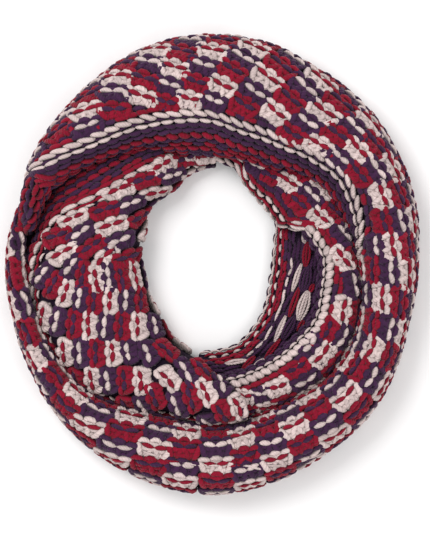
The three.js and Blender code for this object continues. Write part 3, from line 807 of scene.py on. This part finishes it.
def lay_bundles(yarns, table, half_width):
    """Long strands side by side that bulge apart at the middle, from one place to another."""
    chance = yarns.chance
    for x, y, to_x, to_y, width, yarn, height in table:
        count = max(1, round(width * PX / (2 * half_width)))
        length = math.hypot(to_x - x, to_y - y)
        side = ((to_y - y) / length, -(to_x - x) / length)
        for n in range(count):
            spread = (n - (count - 1) / 2) * width / count
            places = []
            for t, bulge, lift in BUNDLE:
                away = spread * bulge + chance.normal(0, 0.15)
                seen_x = x + (to_x - x) * t + side[0] * away
                seen_y = y + (to_y - y) * t + side[1] * away
                angle, radius = seen_at(seen_x, seen_y)
                if angle < yarns.grid["angles"][0] - 1:
                    angle += 360
                run = run_to(yarns.grid, angle, radius)
                places.append((angle, run, height + lift + chance.normal(0, 0.15)))
            yarns.strand(yarn, places, half_width * chance.uniform(0.94, 1.08), 0.5)


def knit_nose(yarns, stretch):
    """Rows across the band at its end, which lies on top of the next stretch."""
    end = float(yarns.grid["plan"][-1][int(yarns.grid["lengths"][-1])])
    for before, yarn, height in NOSE_ROWS:
        angle = stretch["to"] - before
        run = 2.0
        while run < end - 2:
            places = [(angle, run + t * 8.4, height - (0.8 if t in (0, 1) else 0)) for t in NOSE_SHARES]
            yarns.strand(yarn, places, 2.3)
            run += 8.0


def knitted_ground(stretch):
    """The thin cloth under the yarn, a closed wall on the solid's own form."""
    steps = 8
    count = int((stretch["to"] - stretch["from"]) / 2.0) + 1
    angles = np.linspace(stretch["from"], stretch["to"], count)
    front = sections(stretch, angles, steps, GROUND_INSET)
    back = sections(stretch, angles, steps, GROUND_BACK)
    loops = np.stack([to_ring(np.concatenate([f, b[::-1]]), a) for f, b, a in zip(front, back, angles)])
    around = loops.shape[1]
    half = around // 2
    index = np.arange(count * around).reshape(count, around)
    nxt = np.roll(index, -1, axis=1)
    quads = np.stack([index[:-1], index[1:], nxt[1:], nxt[:-1]], 2).reshape(-1, 4)
    strip = np.arange(half - 1)
    start = np.stack([strip, strip + 1, around - 2 - strip, around - 1 - strip], 1)
    end = (start + (count - 1) * around)[:, ::-1]
    quads = np.concatenate([quads, start, end])
    vertices = loops.reshape(-1, 3)
    quads = faces_out(vertices, quads)[0]
    piece = new_object(stretch["node"] + "_ground", vertices, quads)
    # The ground's near-black colour is painted shade in the gaps between stitches
    piece.data.materials.append(GAP_SHADE_MATERIAL)
    return piece


# Materials
def linear(hex_colour):
    parts = [int(hex_colour[i : i + 2], 16) / 255 for i in (1, 3, 5)]
    return tuple(c / 12.92 if c <= 0.04045 else ((c + 0.055) / 1.055) ** 2.4 for c in parts) + (1.0,)


def add_node(tree, kind, settings=None, links=None):
    """A node with its settings, by attribute or input name, and the sockets linked to its inputs."""
    node = tree.nodes.new(kind)
    for name, value in (settings or {}).items():
        if isinstance(name, int) or name in node.inputs:
            node.inputs[name].default_value = value
        else:
            setattr(node, name, value)
    for name, socket in (links or {}).items():
        tree.links.new(socket, node.inputs[name])
    return node


def new_material(name):
    material = bpy.data.materials.new(name)
    material.use_nodes = True
    tree = material.node_tree
    tree.nodes.clear()
    shader = add_node(tree, "ShaderNodeBsdfPrincipled")
    add_node(tree, "ShaderNodeOutputMaterial", links={"Surface": shader.outputs[0]})
    return material, tree, shader


def shaded(hex_colour, factor):
    return tuple(min(1.0, c * factor) for c in linear(hex_colour)[:3]) + (1.0,)


PLIES = 3
LAY = 8.0  # mm of yarn in which a ply goes once round
PLY_GROOVE_SHADE = 0.06  # how much painted shade darkens the grooves between plies
FIBRE_SCALE = 900.0  # loose fibres, drawn about 1 mm apart, which is as fine as the render shows
HEATHER_SCALE = 240.0  # patches of dye about 4 mm long
GROUND_LOOP_SCALE = 210.0  # loops of the back about 5 mm apart
GROUND_HEATHER_SCALE = 90.0


def spun_yarn(name, hex_colour):
    """Spun wool: three twisted plies with loose fibres, which scatter light softly and show no gloss, with
    painted shade at each strand's sides and in its ply grooves.
    """
    material, tree, shader = new_material(name)
    strand = add_node(tree, "ShaderNodeAttribute", {"attribute_name": "strand"})
    split = add_node(tree, "ShaderNodeSeparateXYZ", links={0: strand.outputs["Vector"]})
    around = add_node(
        tree, "ShaderNodeMath", {"operation": "ARCTAN2"}, {0: split.outputs[1], 1: split.outputs[0]}
    )
    plies = add_node(
        tree, "ShaderNodeMath", {"operation": "MULTIPLY", 1: float(PLIES)}, {0: around.outputs[0]}
    )
    twist = {"operation": "MULTIPLY", 1: 2 * math.pi * PLIES / LAY}
    turns = add_node(tree, "ShaderNodeMath", twist, {0: split.outputs[2]})
    both = add_node(
        tree, "ShaderNodeMath", {"operation": "ADD"}, {0: plies.outputs[0], 1: turns.outputs[0]}
    )
    wave = add_node(tree, "ShaderNodeMath", {"operation": "SINE"}, {0: both.outputs[0]})
    place = add_node(tree, "ShaderNodeTexCoord").outputs["Object"]
    fine = {"Scale": FIBRE_SCALE, "Detail": 3.0, "Roughness": 0.6}
    fibres = add_node(tree, "ShaderNodeTexNoise", fine, {"Vector": place})
    patchy = {"Scale": HEATHER_SCALE, "Detail": 3.0, "Roughness": 0.65}
    heather = add_node(tree, "ShaderNodeTexNoise", patchy, {"Vector": place})
    # Each strand has its own tone, with the heather and the painted shade of the ply grooves on top
    shade = add_node(tree, "ShaderNodeAttribute", {"attribute_name": "shade"})
    own = {"operation": "MULTIPLY_ADD", 1: 0.4, 2: -0.08}
    tone = add_node(tree, "ShaderNodeMath", own, {0: shade.outputs["Fac"]})
    mixed = {"operation": "MULTIPLY_ADD", 1: 0.8}
    mix = add_node(tree, "ShaderNodeMath", mixed, {0: heather.outputs["Fac"], 2: tone.outputs[0]})
    # Painted shade in the grooves between plies
    grooved = {"operation": "MULTIPLY_ADD", 1: PLY_GROOVE_SHADE, "use_clamp": True}
    plied = add_node(tree, "ShaderNodeMath", grooved, {0: wave.outputs[0], 2: mix.outputs[0]})
    ramp = add_node(tree, "ShaderNodeValToRGB", links={"Fac": plied.outputs[0]})
    ramp.color_ramp.elements[0].color = shaded(hex_colour, 0.62)
    ramp.color_ramp.elements[1].color = shaded(hex_colour, 1.36)
    # Painted shade: a strand's sides are darkened in its colour, where its neighbours keep the light from
    # its fibres
    sunk = {"From Min": 0.0, "From Max": 0.9, "To Min": 0.3, "To Max": 1.0}
    sunk["interpolation_type"] = "SMOOTHSTEP"
    side_shade_factor = add_node(tree, "ShaderNodeMapRange", sunk, {"Value": split.outputs[1]})
    painted_side_shade = add_node(
        tree, "ShaderNodeVectorMath", {"operation": "SCALE"},
        {0: ramp.outputs["Color"], "Scale": side_shade_factor.outputs[0]},
    )
    fuzzy = {"operation": "MULTIPLY_ADD", 1: 0.55}
    height = add_node(tree, "ShaderNodeMath", fuzzy, {0: fibres.outputs["Fac"], 2: wave.outputs[0]})
    low = {"Strength": 0.5, "Distance": 0.0006}
    bump = add_node(tree, "ShaderNodeBump", low, {"Height": height.outputs[0]})
    tree.links.new(painted_side_shade.outputs["Vector"], shader.inputs["Base Color"])
    tree.links.new(bump.outputs["Normal"], shader.inputs["Normal"])
    shader.inputs["Roughness"].default_value = 0.92
    shader.inputs["Specular IOR Level"].default_value = 0.15
    shader.inputs["Sheen Weight"].default_value = 0.1
    shader.inputs["Sheen Roughness"].default_value = 0.5
    return material


def gap_shade_ground(name, hex_colour):
    """The back of the knitting, seen in the gaps between stitches, coloured near-black as painted shade.
    """
    material, tree, shader = new_material(name)
    place = add_node(tree, "ShaderNodeTexCoord").outputs["Object"]
    loops = add_node(tree, "ShaderNodeTexVoronoi", {"Scale": GROUND_LOOP_SCALE}, {"Vector": place})
    patchy = {"Scale": GROUND_HEATHER_SCALE, "Detail": 3.0}
    heather = add_node(tree, "ShaderNodeTexNoise", patchy, {"Vector": place})
    ramp = add_node(tree, "ShaderNodeValToRGB", links={"Fac": heather.outputs["Fac"]})
    ramp.color_ramp.elements[0].color = shaded(hex_colour, 0.6)
    ramp.color_ramp.elements[1].color = shaded(hex_colour, 1.5)
    sunk = {"Strength": 0.8, "Distance": 0.0015, "invert": True}
    bump = add_node(tree, "ShaderNodeBump", sunk, {"Height": loops.outputs["Distance"]})
    tree.links.new(ramp.outputs["Color"], shader.inputs["Base Color"])
    tree.links.new(bump.outputs["Normal"], shader.inputs["Normal"])
    shader.inputs["Roughness"].default_value = 0.95
    shader.inputs["Specular IOR Level"].default_value = 0.2
    return material


YARN_MATERIALS = {
    "cream": spun_yarn("cream_wool_yarn", CREAM),
    "crimson": spun_yarn("crimson_wool_yarn", CRIMSON),
    "plum": spun_yarn("plum_wool_yarn", PLUM),
}
# A near-black material of painted shade for the ground and the hidden layers
GAP_SHADE_MATERIAL = gap_shade_ground("plum_ground_painted_shade", GAP_SHADE_GROUND)

# The stretches that show. The upturned columns have their cells' crowns towards the hole.
OUTER = {
    "node": "outer_wrap", "wrap": "outer", "rows": OUTER_WRAP, "columns": ROLL_COLUMNS, "from": 153.0,
    "to": 532.0, "chain": OUTER_CHAIN, "edge": "chain_r", "cells": OUTER_CELLS, "pitch": 13.0,
    "fullness": 1.1, "mean_r": 145.0, "order": ("cream", "crimson", "plum"),
    "borders": ((OUTER_BORDER, 154, 531),), "upturned": (-3, 9),
}
LEFT = {
    "node": "inner_left", "wrap": "inner", "rows": INNER_WRAP, "columns": ROLL_COLUMNS, "from": 88.3,
    "to": 283.0, "chain": LEFT_CHAIN, "edge": "chain_r", "cells": LEFT_CELLS, "width": 22.6,
    "order": ("cream", "plum", "crimson"), "borders": ((LEFT_BORDER, 90, 282),),
}
RIGHT = {
    "node": "inner_right_upper_lip", "wrap": "inner", "rows": INNER_WRAP, "columns": ROLL_COLUMNS,
    "from": -95.0, "to": 87.7, "chain": RIGHT_CHAIN, "edge": "chain_r", "cells": RIGHT_CELLS,
    "pitch": 12.0, "fullness": 1.12, "mean_r": 105.0, "order": ("cream", "crimson", "plum"),
    "upturned": (-12, -3),
    "borders": ((THICK_BORDER, -95, 19), (FOLDED_EDGE_BORDER, 18, 87), (LOW_OVALS, -95, -52)),
}
LIP_ROLL = {
    "node": "inner_right_lower_lip", "wrap": "lip", "rows": LOWER_LIP, "columns": LIP_COLUMNS,
    "from": -97.0, "to": 38.0, "chain": LOWER_LIP, "edge": "side_r", "borders": ((LIP_BORDER, -96, 37),),
}


def make_stretch(stretch, seed):
    grid = measured(stretch)
    yarns = Yarns(grid, seed)
    for border, first, last in stretch["borders"]:
        knit_border(yarns, stretch, border, first, last)
    if stretch is LIP_ROLL:
        lay_bundles(yarns, FLOATS, 1.25)
    elif stretch is LEFT:
        knit_bent_columns(yarns, stretch)
        knit_nose(yarns, stretch)
    else:
        knit_columns(yarns, stretch)
    if stretch is OUTER:
        lay_bundles(yarns, FOLD_STRANDS, 1.1)
    ground = knitted_ground(stretch)
    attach(ground, "root")
    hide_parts(stretch["node"])
    strands = yarn_pieces(stretch["node"], yarns)


for number, stretch in enumerate((OUTER, LEFT, RIGHT, LIP_ROLL)):
    make_stretch(stretch, 11 + number)

# The hidden layers take the same near-black painted shade
hidden = bpy.data.objects["hidden_layers"]
hidden.data.materials.clear()
hidden.data.materials.append(GAP_SHADE_MATERIAL)

# Floor, light and camera
bpy.ops.object.select_all(action="DESELECT")
bpy.ops.mesh.primitive_plane_add(size=6.0, location=(0, 0, 0))
floor = bpy.context.object
floor.name = "floor"
paper, _, paper_shader = new_material("white_paper_sweep")
paper_shader.inputs["Base Color"].default_value = linear(PAPER)
paper_shader.inputs["Roughness"].default_value = 0.9
floor.data.materials.append(paper)

world = bpy.data.worlds.new("soft_box")
bpy.context.scene.world = world
world.use_nodes = True
world.node_tree.nodes["Background"].inputs["Color"].default_value = (1.0, 1.0, 1.0, 1.0)
world.node_tree.nodes["Background"].inputs["Strength"].default_value = SKY_LIGHT


def soft_light(name, place, size, power):
    bpy.ops.object.light_add(type="AREA", location=place)
    lamp = bpy.context.object
    lamp.name = name
    lamp.data.size = size
    lamp.data.energy = power
    lamp.rotation_euler = (-Vector(place)).to_track_quat("-Z", "Y").to_euler()


soft_light("key_light", (-0.9, 0.8, 1.8), 0.9, 25)
soft_light("fill_light", (1.2, -0.9, 1.6), 1.2, 9)

OUTLINE_Z = 0.02
CAMERA_AWAY = 2.0
bpy.ops.object.camera_add(
    location=(
        (FRAME_MIDDLE[0] - RING_MIDDLE[0]) * PX * MM,
        (RING_MIDDLE[1] - FRAME_MIDDLE[1]) * PX * MM,
        OUTLINE_Z + CAMERA_AWAY,
    )
)
camera = bpy.context.object
camera.data.sensor_fit = "VERTICAL"
camera.data.sensor_height = 24.0
camera.data.lens = camera.data.sensor_height * CAMERA_AWAY / (FRAME_HEIGHT * PX * MM)
bpy.context.scene.camera = camera
bpy.context.scene.view_settings.view_transform = "Standard"
